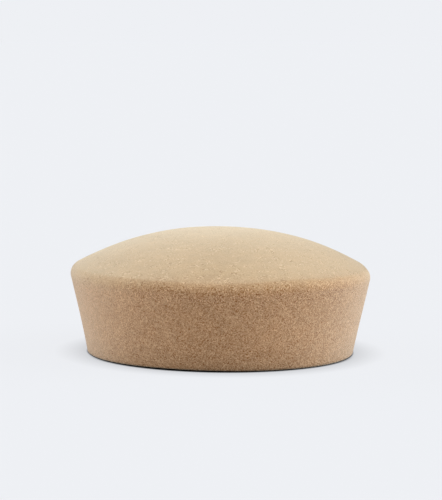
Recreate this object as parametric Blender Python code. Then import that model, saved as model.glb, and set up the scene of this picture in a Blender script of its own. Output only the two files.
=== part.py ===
# Blocked felt cap: a low round-topped pillbox whose wall leans outwards to a soft rim.
# It is one piece of felt, so it is one solid: a shell of even thickness, open underneath.
# Units are metres, +Z is up and the wearer faces -Y. The origin is on the table at the middle of the hem.

from math import atan2, cos, pi, sin, tan

import bmesh
import bpy
from mathutils import Vector
from mathutils.geometry import interpolate_bezier

# Driving dimensions
HEM_LENGTH = 0.2000  # front to back over the outside of the hem
HEM_WIDTH = 0.1720  # side to side over the outside of the hem
WALL_HEIGHT = 0.0546  # table to the corner where wall and crown would meet if the rim were sharp
CROWN_RISE = 0.0267  # from that corner up to the top of the crown
SIDE_FLARE = 0.0113  # how far the corner stands out past the hem at each side
END_FLARE = 0.0240  # how far it stands out past the hem at the front and the back
RIM_RADIUS = 0.0070  # outside radius of the soft rim
FELT_THICKNESS = 0.0025
EDGE_ROUND = 0.0006  # how far the two corners of the cut edge are rounded off

# How the two faces bow between their ends. 1 is a straight wall and a pointed crown.
WALL_BOW = 1.05
CROWN_FULLNESS = 2.12

# Fineness of the mesh
SEGMENTS = 72
WALL_STEPS = 7
RIM_STEPS = 8
CROWN_STEPS = 9
EDGE_STEPS = 2

FELT_COLOUR = (0.50, 0.36, 0.22, 1.0)
FELT_ROUGHNESS = 0.95


def clear_scene():
    for old in list(bpy.data.objects):
        bpy.data.objects.remove(old)


def felt_material():
    material = bpy.data.materials.new("felt")
    material.use_nodes = True
    shader = material.node_tree.nodes["Principled BSDF"]
    shader.inputs["Base Color"].default_value = FELT_COLOUR
    shader.inputs["Roughness"].default_value = FELT_ROUGHNESS
    shader.inputs["Metallic"].default_value = 0.0
    return material


def wall_point(hem, flare, share):
    """The outer face of the wall, at a share of its height."""
    return Vector((hem + flare * share**WALL_BOW, WALL_HEIGHT * share))


def crown_point(corner, share):
    """The outer face of the crown, at a share of the way from its middle to the corner."""
    return Vector((corner * share, WALL_HEIGHT + CROWN_RISE * (1 - share**CROWN_FULLNESS)))


def outline(hem, flare):
    """The outer face cut through the middle, from the hem to the top, as (reach, height) points."""
    corner = hem + flare
    lean = atan2(flare * WALL_BOW, WALL_HEIGHT)
    fall = atan2(CROWN_RISE * CROWN_FULLNESS, corner)
    bend = pi / 2 + lean - fall
    setback = RIM_RADIUS * tan(bend / 2)
    wall_end = 1 - setback * cos(lean) / WALL_HEIGHT
    crown_end = 1 - setback * cos(fall) / corner
    wall = [wall_point(hem, flare, wall_end * step / WALL_STEPS) for step in range(WALL_STEPS + 1)]
    crown = [crown_point(corner, crown_end * (1 - step / CROWN_STEPS)) for step in range(CROWN_STEPS + 1)]
    handle = RIM_RADIUS * tan(bend / 4) * 4 / 3
    upwards = (wall[-1] - wall[-2]).normalized()
    outwards = (crown[0] - crown[1]).normalized()
    rim = interpolate_bezier(
        wall[-1], wall[-1] + upwards * handle, crown[0] + outwards * handle, crown[0], RIM_STEPS + 1
    )
    return wall + rim[1:-1] + crown


def inset(points, depth):
    """An outline that lies that deep inside another, with its first point still on the table."""
    moved = []
    for before, point, after in zip(points[:1] + points, points, points[1:] + points[-1:]):
        run = (after - before).normalized()
        moved.append(point + Vector((-run.y, run.x)) * depth)
    first_run = (points[1] - points[0]).normalized()
    moved[0] -= first_run * moved[0].y / first_run.y
    moved[-1].x = 0.0
    return moved


def add_ring(bm, side, end):
    """One oval section of a face. side and end are its points on the side and on the front outline."""
    ring = []
    for index in range(SEGMENTS):
        turn = 2 * pi * index / SEGMENTS
        height = side.y * cos(turn) ** 2 + end.y * sin(turn) ** 2
        ring.append(bm.verts.new((side.x * cos(turn), end.x * sin(turn), height)))
    return ring


def join_rings(bm, lower, upper):
    for index in range(SEGMENTS):
        bm.faces.new((lower[index - 1], lower[index], upper[index], upper[index - 1]))


def add_face(bm, side_outline, end_outline):
    """The whole outer or inner face. It returns the ring at the hem."""
    rings = [add_ring(bm, *points) for points in zip(side_outline[:-1], end_outline[:-1])]
    for lower, upper in zip(rings, rings[1:]):
        join_rings(bm, lower, upper)
    middle = bm.verts.new((0.0, 0.0, side_outline[-1].y))
    for index in range(SEGMENTS):
        bm.faces.new((rings[-1][index - 1], rings[-1][index], middle))
    return rings[0]


def felt_cap():
    side_outline = outline(HEM_WIDTH / 2, SIDE_FLARE)
    end_outline = outline(HEM_LENGTH / 2, END_FLARE)
    bm = bmesh.new()
    outer_hem = add_face(bm, side_outline, end_outline)
    inner_hem = add_face(bm, inset(side_outline, FELT_THICKNESS), inset(end_outline, FELT_THICKNESS))
    join_rings(bm, outer_hem, inner_hem)
    bmesh.ops.recalc_face_normals(bm, faces=bm.faces)
    corners = [
        bm.edges.get((ring[index - 1], ring[index]))
        for ring in (outer_hem, inner_hem)
        for index in range(SEGMENTS)
    ]
    bmesh.ops.bevel(
        bm,
        geom=corners,
        offset=EDGE_ROUND,
        segments=EDGE_STEPS,
        profile=0.5,
        affect="EDGES",
        material=-1,
    )
    mesh = bpy.data.meshes.new("felt_cap")
    bm.to_mesh(mesh)
    bm.free()
    mesh.shade_smooth()
    mesh.materials.append(felt_material())
    cap = bpy.data.objects.new("felt_cap", mesh)
    bpy.context.collection.objects.link(cap)
    return cap


clear_scene()
felt_cap()
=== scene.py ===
from math import atan2, cos, degrees, exp, pi, radians, sin, tan

import bmesh
import bpy
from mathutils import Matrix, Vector, noise
from mathutils.geometry import interpolate_bezier


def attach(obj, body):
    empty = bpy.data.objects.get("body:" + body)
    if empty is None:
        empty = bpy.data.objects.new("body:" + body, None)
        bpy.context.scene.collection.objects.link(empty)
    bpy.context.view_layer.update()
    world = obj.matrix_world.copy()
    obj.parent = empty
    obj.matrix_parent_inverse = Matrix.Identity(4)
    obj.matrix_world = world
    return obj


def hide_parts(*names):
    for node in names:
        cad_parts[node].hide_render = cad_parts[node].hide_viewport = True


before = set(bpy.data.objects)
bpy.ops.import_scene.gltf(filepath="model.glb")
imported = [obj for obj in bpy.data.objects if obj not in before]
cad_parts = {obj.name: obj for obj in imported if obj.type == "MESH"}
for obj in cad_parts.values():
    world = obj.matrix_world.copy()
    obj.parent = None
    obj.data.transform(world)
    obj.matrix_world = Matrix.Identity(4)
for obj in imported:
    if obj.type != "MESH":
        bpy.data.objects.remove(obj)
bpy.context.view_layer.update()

# Everything is in metres, the wearer faces -Y, and the hat stands on z = 0

# Camera: a long lens a metre and a half away, at the photo's angle
shot = {
    "pictureSize": (442, 500),
    "aimPixel": (219.6, 289.1),  # where the photo has the point that the camera looks at
    "aim": (0.0, 0.0, 0.0405),
    "distance": 1.518,
    "azimuth": -12.2,  # degrees round from the hat's front, minus towards its right side
    "elevation": 6.25,
    "focalPixels": 2321.5,
    "sensor": 36.0,
    "seesTo": 200.0,  # metres, well past the floor's edge
}


def directionOf(azimuth, elevation):
    turn, rise = radians(azimuth), radians(elevation)
    return Vector((sin(turn) * cos(rise), -cos(turn) * cos(rise), sin(rise)))


def addCamera():
    across, down = shot["pictureSize"]
    longSide = max(across, down)
    data = bpy.data.cameras.new("photoCamera")
    data.sensor_width = shot["sensor"]
    data.lens = shot["focalPixels"] * shot["sensor"] / longSide
    data.shift_x = (across / 2 - shot["aimPixel"][0]) / longSide
    data.shift_y = (shot["aimPixel"][1] - down / 2) / longSide
    data.clip_end = shot["seesTo"]
    camera = bpy.data.objects.new("photoCamera", data)
    away = directionOf(shot["azimuth"], shot["elevation"])
    camera.location = Vector(shot["aim"]) + away * shot["distance"]
    camera.rotation_euler = away.to_track_quat("Z", "Y").to_euler()
    bpy.context.collection.objects.link(camera)
    bpy.context.scene.camera = camera


# Shader maths: a Wire stands for one socket, and sums on wires become Math nodes
class Wire:
    def __init__(self, tree, socket=None):
        self.tree = tree
        self.socket = socket

    def node(self, kind, settings, sockets, output=0):
        made = self.tree.nodes.new(kind)
        for name, setting in settings.items():
            setattr(made, name, setting)
        for name, value in sockets.items():
            if isinstance(value, Wire):
                self.tree.links.new(value.socket, made.inputs[name])
            else:
                made.inputs[name].default_value = value
        return Wire(self.tree, made.outputs[output])

    def maths(self, operation, *values):
        return self.node("ShaderNodeMath", {"operation": operation}, dict(enumerate(values)))

    def __add__(self, other):
        return self.maths("ADD", self, other)

    def __sub__(self, other):
        return self.maths("SUBTRACT", self, other)

    def __rsub__(self, other):
        return self.maths("SUBTRACT", other, self)

    def __mul__(self, other):
        return self.maths("MULTIPLY", self, other)

    def __truediv__(self, other):
        return self.maths("DIVIDE", self, other)

    def __rtruediv__(self, other):
        return self.maths("DIVIDE", other, self)

    def __pow__(self, other):
        return self.maths("POWER", self, other)

    def __rpow__(self, other):
        return self.maths("POWER", other, self)

    def __abs__(self):
        return self.maths("ABSOLUTE", self)

    __radd__ = __add__
    __rmul__ = __mul__

    def ramp(self, low, high):  # 0 below low, 1 above high, smooth between
        sockets = {"Value": self, "From Min": low, "From Max": high}
        return self.node("ShaderNodeMapRange", {"interpolation_type": "SMOOTHSTEP"}, sockets)

    def blend(self, first, second):  # the first colour at 0, the second at 1
        sockets = {"Factor": self, 6: first, 7: second}  # 6 and 7 are its two colours
        return self.node("ShaderNodeMix", {"data_type": "RGBA"}, sockets, output=2)

    def vector(self, operation, other):  # sums on whole vectors or colours
        second = "Scale" if operation == "SCALE" else 1
        return self.node("ShaderNodeVectorMath", {"operation": operation}, {0: self, second: other})

    def part(self, axis):  # the X, Y or Z of a place
        return self.node("ShaderNodeSeparateXYZ", {}, {"Vector": self}, output=axis)

    def noise(self, scale, detail, roughness):
        sockets = {"Vector": self, "Scale": scale, "Detail": detail, "Roughness": roughness}
        return self.node("ShaderNodeTexNoise", {"noise_dimensions": "3D"}, sockets)


def newMaterial(name):
    material = bpy.data.materials.new(name)
    material.use_nodes = True
    return material, Wire(material.node_tree)


def dress(material, sockets):  # sets or links the Principled shader's sockets
    shader = material.node_tree.nodes["Principled BSDF"]
    for name, value in sockets.items():
        if isinstance(value, Wire):
            material.node_tree.links.new(value.socket, shader.inputs[name])
        else:
            shader.inputs[name].default_value = value


# Stage: a pale floor that runs to the horizon, and soft light from all round
stage = {
    "floorRadius": 60.0,
    "floorSegments": 96,
    "paper": (0.855, 0.871, 0.905, 1.0),  # how bright the floor and the backdrop are in the picture
    "glow": 0.93,  # the share of the floor's brightness that the lamps' shadows leave alone
    "shadowReach": 0.022,  # how far the soft shadow round the hat runs out
    "shadowPower": 0.33,  # how deep it is
    "shadowSamples": 16,
    "contactReach": 0.003,  # the same three for the painted contact shadow, a dark line right under the hem
    "contactPower": 2.2,
    "contactSamples": 8,
    "contactAzimuth": -12.0,  # the side of the hat where that line is darkest
    "contactFade": (0.2, 0.7),  # it fades between these shares of the hat's half width, seen from there
    "underHem": (0.98, 1.03),  # the floor under the hat is painted into shade between these shares of the hem's oval
    "roomLight": 0.22,  # even light from all round
}
# Each lamp, named as the picture shows its side: degrees round from the hat's front, degrees up,
# strength, and colour
lamps = {
    "topLight": (-13.0, 80.0, 1.48, (1.0, 1.0, 1.0)),
    "frontRightLight": (37.0, 45.0, 0.36, (1.0, 1.0, 1.0)),
    "rightLight": (77.0, 20.0, 1.92, (0.96, 1.0, 1.0)),
    "highRightLight": (77.0, 50.0, 0.54, (1.0, 1.0, 1.0)),
    "backRightLight": (115.0, 6.0, 0.95, (1.0, 1.0, 1.0)),
    "leftLight": (-98.0, 15.0, 0.78, (1.0, 0.96, 0.84)),
    "backLeftLight": (-135.0, 9.0, 2.15, (1.0, 1.0, 1.0)),
}
lampWidth = 50.0  # degrees across, which makes each one as soft as a wide screen


def addLights():
    for name, (azimuth, elevation, strength, colour) in lamps.items():
        data = bpy.data.lights.new(name, "SUN")
        data.energy = strength
        data.color = colour
        data.angle = radians(lampWidth)
        lamp = bpy.data.objects.new(name, data)
        away = directionOf(azimuth, elevation)
        lamp.location = away * 2
        lamp.rotation_euler = away.to_track_quat("Z", "Y").to_euler()
        bpy.context.collection.objects.link(lamp)


def addWorld():
    world = bpy.data.worlds.new("studio")
    world.use_nodes = True
    wire = Wire(world.node_tree)
    toCamera = wire.node("ShaderNodeLightPath", {}, {}, output="Is Camera Ray")
    room = stage["roomLight"]
    seen = toCamera.blend((room, room, room, 1.0), stage["paper"])
    background = world.node_tree.nodes["Background"]
    world.node_tree.links.new(seen.socket, background.inputs["Color"])
    background.inputs["Strength"].default_value = 1.0
    bpy.context.scene.world = world


def floorShadow(wire):
    # How much light reaches the floor: 0 under the hat, and 1 away from it
    place = wire.node("ShaderNodeTexCoord", {}, {}, output="Object")
    across = place.part("X") / (hat["hemWidth"] / 2)
    along = place.part("Y") / (hat["hemLength"] / 2)
    outside = (across * across + along * along).ramp(*stage["underHem"])
    front = directionOf(stage["contactAzimuth"], 0.0)
    facing = (across * front.x + along * front.y).ramp(*stage["contactFade"])
    wide, near = [
        wire.node(
            "ShaderNodeAmbientOcclusion",
            {"samples": stage[shadow + "Samples"]},
            {"Distance": stage[shadow + "Reach"]},
            output="AO",
        )
        for shadow in ("shadow", "contact")
    ]
    return wide ** stage["shadowPower"] * near ** (facing * stage["contactPower"]) * outside


def addFloor():
    bm = bmesh.new()
    bmesh.ops.create_circle(
        bm, cap_ends=True, segments=stage["floorSegments"], radius=stage["floorRadius"]
    )
    mesh = bpy.data.meshes.new("floor")
    bm.to_mesh(mesh)
    bm.free()
    floor = bpy.data.objects.new("floor", mesh)
    bpy.context.collection.objects.link(floor)
    material, wire = newMaterial("palePaper")
    tree = material.node_tree
    # The floor's glow carries a painted shadow round and under the hat
    shaded = (floorShadow(wire) * stage["glow"]).blend((0.0, 0.0, 0.0, 1.0), stage["paper"])
    glow = wire.node("ShaderNodeEmission", {}, {"Color": shaded, "Strength": 1.0})
    falling = pi * stage["roomLight"]  # light that falls on each square metre of the open floor
    for azimuth, elevation, strength, colour in lamps.values():
        falling += strength * sin(radians(elevation))
    share = (1 - stage["glow"]) * pi / falling
    litPaper = [value * share for value in stage["paper"][:3]] + [1.0]  # lamps and room add the rest
    lit = wire.node("ShaderNodeBsdfDiffuse", {}, {"Color": litPaper})
    both = wire.node("ShaderNodeAddShader", {}, {0: glow, 1: lit})
    tree.links.new(both.socket, tree.nodes["Material Output"].inputs["Surface"])
    mesh.materials.append(material)


# The hat itself, one piece of blocked felt
hat = {
    "hemLength": 0.2000,  # outside, front to back
    "hemWidth": 0.1720,  # outside, side to side
    "wallHeight": 0.0546,  # up to where wall and crown would meet in a sharp corner
    "crownRise": 0.0267,  # from that corner to the top
    "sideFlare": 0.0113,
    "endFlare": 0.0240,
    "rimRadius": 0.0070,
    "felt": 0.0025,  # thickness
    "edgeRound": 0.0011,  # how far the two corners of the cut edge are rounded off
    "edgeHandle": 0.55,  # how far the round pulls towards each corner: this makes a quarter circle
    "edgeClear": 1.5,  # the wall's own points start this many times as high as the round ends
    "wallBow": 1.05,  # 1 would be a straight wall
    "crownFullness": 2.12,  # 1 would be a pointed crown
    "wallSteps": 30,
    "rimSteps": 20,
    "crownSteps": 50,
    "edgeSteps": 5,
    "segments": 256,
    "handSway": 0.0002,  # how far hand blocking leaves the felt off its true shape
    "swaySize": 0.03,
    "swayShifts": ((0.0, 0.0, 0.0), (9.3, -1.5, -7.9), (6.3, 0.2, -2.7)),  # one for each axis
    "swayFrom": 0.02,  # height where the sway is whole and the hem's lift is gone
    "weld": 1e-6,
    # Where the photo shows it off its true shape: place, how far round it that reaches, and the move
    "nudges": [
        ((-0.034, -0.116, 0.055), 0.022, (0.0, 0.0, -0.0010)),  # the rim hangs a little at the front
        ((0.026, -0.119, 0.055), 0.028, (0.0, 0.0, 0.0011)),  # and rises a little next to it
        ((0.090, -0.030, 0.057), 0.020, (-0.0004, 0.0, -0.0010)),  # softer left shoulder
        ((0.006, 0.010, 0.080), 0.040, (0.0, 0.0, -0.0008)),  # flatter top
        ((-0.062, 0.020, 0.068), 0.030, (0.0, 0.0, -0.0008)),  # and a flatter right flank
    ],
    "hemLift": 0.0008,  # how far the cut edge stands off the floor along a part of the front
    "liftAzimuth": -28.0,  # degrees round from the hat's front, minus towards its right side
    "liftSpread": 35.0,
}


def faceOf(hem, flare, depth):
    # The outer face cut through the middle, moved in by a depth, from the hem up to the top
    corner = hem + flare
    rise, fullness = hat["crownRise"], hat["crownFullness"]
    height, bow = hat["wallHeight"], hat["wallBow"]
    lean = atan2(flare * bow, height)
    fall = atan2(rise * fullness, corner)
    bend = pi / 2 + lean - fall
    setback = hat["rimRadius"] * tan(bend / 2)
    wallEnd = 1 - setback * cos(lean) / height
    crownEnd = 1 - setback * cos(fall) / corner
    points = []
    for step in range(hat["wallSteps"] + 1):
        share = wallEnd * step / hat["wallSteps"]
        points.append(Vector((hem + flare * share**bow, height * share)))
    crown = []
    for step in range(hat["crownSteps"] + 1):
        share = crownEnd * (1 - step / hat["crownSteps"])
        crown.append(Vector((corner * share, height + rise * (1 - share**fullness))))
    handle = hat["rimRadius"] * tan(bend / 4) * 4 / 3
    upwards = (points[-1] - points[-2]).normalized()
    outwards = (crown[0] - crown[1]).normalized()
    firstPull, lastPull = points[-1] + upwards * handle, crown[0] + outwards * handle
    rim = interpolate_bezier(points[-1], firstPull, lastPull, crown[0], hat["rimSteps"] + 1)
    points = points + rim[1:-1] + crown
    if not depth:
        return points
    moved = []
    for before, point, after in zip(points[:1] + points, points, points[1:] + points[-1:]):
        run = (after - before).normalized()
        moved.append(point + Vector((-run.y, run.x)) * depth)
    firstRun = (points[1] - points[0]).normalized()
    moved[0] -= firstRun * moved[0].y / firstRun.y
    moved[-1].x = 0.0
    return moved


def roundedEnd(face, towards):
    # Replaces the corner at the hem by a quarter round that ends flat on the floor
    size = hat["edgeRound"]
    corner = face[0]
    upwards = (face[1] - corner).normalized()
    start = corner + upwards * size
    stop = corner + Vector((towards, 0.0)) * size
    firstPull, lastPull = stop.lerp(corner, hat["edgeHandle"]), start.lerp(corner, hat["edgeHandle"])
    arc = interpolate_bezier(stop, firstPull, lastPull, start, hat["edgeSteps"] + 1)
    rest = [point for point in face[1:] if point.y > start.y * hat["edgeClear"]]
    return arc + rest


def sectionOf(hem, flare):
    # The felt's whole section: down the inside from the top, round the cut edge, and up the outside
    outside = roundedEnd(faceOf(hem, flare, 0.0), -1)
    inside = roundedEnd(faceOf(hem, flare, hat["felt"]), 1)
    return inside[::-1] + outside


def addFelt():
    side = sectionOf(hat["hemWidth"] / 2, hat["sideFlare"])
    end = sectionOf(hat["hemLength"] / 2, hat["endFlare"])
    bm = bmesh.new()
    rowOf = bm.verts.layers.int.new("row")
    line = []
    for row, point in enumerate(side):
        vert = bm.verts.new((point.x, 0.0, point.y))
        vert[rowOf] = row
        line.append(vert)
    edges = [bm.edges.new(pair) for pair in zip(line, line[1:])]
    bmesh.ops.spin(
        bm,
        geom=line + edges,
        cent=(0, 0, 0),
        axis=(0, 0, 1),
        angle=2 * pi,
        steps=hat["segments"],
        use_merge=True,
    )
    bmesh.ops.remove_doubles(bm, verts=bm.verts, dist=hat["weld"])  # closes the pole
    for vert in bm.verts:  # the turned shape becomes an oval one, with more flare at its ends
        row = vert[rowOf]
        turn = atan2(vert.co.y, vert.co.x)
        vert.co.x = side[row].x * cos(turn)
        vert.co.y = end[row].x * sin(turn)
        vert.co.z = side[row].y * cos(turn) ** 2 + end[row].y * sin(turn) ** 2
    for vert in bm.verts:  # the felt is never quite true, but its hem stays flat on the floor
        spot = vert.co / hat["swaySize"]
        sway = Vector([noise.noise(spot + Vector(shift)) for shift in hat["swayShifts"]]) * hat["handSway"]
        sway.z *= min(vert.co.z / hat["swayFrom"], 1.0)
        for place, reach, move in hat["nudges"]:
            sway += Vector(move) * exp(-((vert.co - Vector(place)).length / reach) ** 2)
        off = degrees(atan2(vert.co.x, -vert.co.y)) - hat["liftAzimuth"]
        lift = hat["hemLift"] * exp(-((off / hat["liftSpread"]) ** 2))
        sway.z += lift * max(1 - vert.co.z / hat["swayFrom"], 0.0)
        vert.co += sway
    bmesh.ops.recalc_face_normals(bm, faces=bm.faces)
    mesh = bpy.data.meshes.new("feltHat")
    bm.to_mesh(mesh)
    bm.free()
    mesh.shade_smooth()
    felt = bpy.data.objects.new("feltHat", mesh)
    bpy.context.collection.objects.link(felt)
    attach(felt, "root")
    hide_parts("felt_cap")
    return felt


# Wool felt: matted fibres with a short brushed nap
wool = {
    "wall": (0.455, 0.256, 0.128, 1.0),
    "crown": (0.456, 0.311, 0.171, 1.0),  # the top is painted a little paler: painted sheen and top light on the crown
    "paleFrom": 0.048,  # height where the wall's tone starts to turn into the crown's
    "paleTo": 0.062,
    "flankFrom": 0.054,  # distance from the middle where the painted side light on the hat's left and right flanks starts
    "flankTo": 0.096,
    "flankPaintedLightDrop": 0.004,  # how much lower the painted paler tone reaches there: painted side light and sheen
    "flankSheenCalm": 0.14,  # and how much softer the speckle is painted there, as the side sheen would hide it
    "hemPaintedShade": 0.10,  # how much darker the felt is painted towards its cut edge: painted shade near the floor
    "hemPaintedShadeTo": 0.020,
    "wallTips": (0.375, 0.300, 0.205, 1.0),  # what a fibre tip in the light adds, and a gap takes away
    "crownTips": (0.345, 0.315, 0.245, 1.0),
    "wallGrain": 0.76,  # how strong the fine speckle is
    "crownGrain": 0.46,
    "rimGrain": 0.5,  # what is added right under the rim, from the height below up to paleFrom
    "roughFrom": 0.038,
    "wallHairs": 0.40,  # how strong the single fibres are
    "crownHairs": 0.60,
    "patch": (30.0, 3.0, 0.5),  # noises: scale per metre, detail and roughness
    "cloud": (150.0, 2.0, 0.5),
    "clump": (700.0, 2.0, 0.6),
    "grain": (1600.0, 2.0, 0.6),
    "paleHair": (560.0, 1.0, 0.5),
    "darkHair": (672.0, 1.0, 0.5),
    "fleck": (200.0, 1.0, 0.5),
    "patchTone": 0.2,  # how far the large noises change the tone
    "cloudTone": 0.25,
    "clumpShare": 0.3,  # what the speckle is mixed from
    "grainShare": 2.4,
    "fleckFrom": 0.50,  # on the crown fibres show only where the fleck noise is over these
    "fleckTo": 0.64,
    "hairWidth": 0.08,
    "paleShift": (0.0, 0.0, 0.0),  # the pale and the dark fibres read different parts of the noise
    "darkShift": (0.3, 0.21, 0.12),
    "napHeight": 0.0003,
    "napMix": (0.2, 0.7, 0.2),  # clump, grain and fibres in the nap
    "crownCalm": 0.1,  # how much flatter the nap lies on the crown
    "roughness": 0.95,
    "specular": 0.05,
    "sheen": 0.60,
    "sheenRoughness": 0.5,
    "sheenTint": (1.0, 1.0, 0.89, 1.0),
}


def hairLines(place, hair, shift):
    # Thin winding lines: where a soft noise passes its middle value
    fibres = place.vector("ADD", wool[shift]).noise(*wool[hair])
    return 1 - abs(fibres - 0.5).ramp(0.0, wool["hairWidth"])


def feltMaterial():
    material, wire = newMaterial("woolFelt")
    place = wire.node("ShaderNodeTexCoord", {}, {}, output="Object")
    height = place.part("Z")
    sideLitFlank = abs(place.part("X")).ramp(wool["flankFrom"], wool["flankTo"])  # 1 at the left and right sides, where side light and sheen are painted
    paintedSheenLine = height + sideLitFlank * wool["flankPaintedLightDrop"]
    upper = paintedSheenLine.ramp(wool["paleFrom"], wool["paleTo"])  # 0 on the wall, 1 on the crown
    # The crown's paler tone is painted light, standing in for the sheen and top light that fall on it
    baseWithPaintedSheen = upper.blend(wool["wall"], wool["crown"])
    patch = place.noise(*wool["patch"])
    cloud = place.noise(*wool["cloud"])
    clump = place.noise(*wool["clump"])
    grain = place.noise(*wool["grain"])
    paleHairs = hairLines(place, "paleHair", "paleShift")
    darkHairs = hairLines(place, "darkHair", "darkShift")
    sparse = place.noise(*wool["fleck"]).ramp(wool["fleckFrom"], wool["fleckTo"])
    hairy = (paleHairs - darkHairs) * (1 - upper * (1 - sparse))
    hairPower = wool["wallHairs"] + upper * (wool["crownHairs"] - wool["wallHairs"])
    under = height.ramp(wool["roughFrom"], wool["paleFrom"]) * (1 - upper)  # right under the rim
    grainy = (clump - 0.5) * wool["clumpShare"] + (grain - 0.5) * wool["grainShare"]
    grainPower = wool["wallGrain"] + upper * (wool["crownGrain"] - wool["wallGrain"])
    grainPower = grainPower + under * wool["rimGrain"]
    # The speckle is painted softer at the flanks, standing in for the side sheen
    speckle = (grainy * grainPower + hairy * hairPower) * (1 - sideLitFlank * wool["flankSheenCalm"])
    tone = 1.0 + (cloud - 0.5) * wool["cloudTone"] + (patch - 0.5) * wool["patchTone"]
    # painted shade, darker towards the hem
    tone = tone * (1 - wool["hemPaintedShade"] * (1 - height.ramp(0.0, wool["hemPaintedShadeTo"])))
    tips = upper.blend(wool["wallTips"], wool["crownTips"])
    colour = baseWithPaintedSheen.vector("SCALE", tone).vector("ADD", tips.vector("SCALE", speckle))
    clumpNap, grainNap, hairNap = wool["napMix"]
    nap = clump * clumpNap + grain * grainNap + hairy * hairNap
    nap = nap * (1 - upper * wool["crownCalm"])
    bump = wire.node("ShaderNodeBump", {}, {"Height": nap, "Distance": wool["napHeight"]})
    dress(material, {
        "Base Color": colour,
        "Roughness": wool["roughness"],
        "Specular IOR Level": wool["specular"],
        "Sheen Weight": wool["sheen"],
        "Sheen Roughness": wool["sheenRoughness"],
        "Sheen Tint": wool["sheenTint"],
        "Normal": bump,
    })
    return material


addCamera()
addWorld()
addLights()
addFloor()
print("stage: camera, lights and floor")
felt = addFelt()
print("hat: felt shell,", len(felt.data.polygons), "faces")
felt.data.materials.append(feltMaterial())
print("hat: wool felt on it")

bpy.context.scene.view_settings.view_transform = "Standard"
bpy.context.scene.view_settings.look = "None"
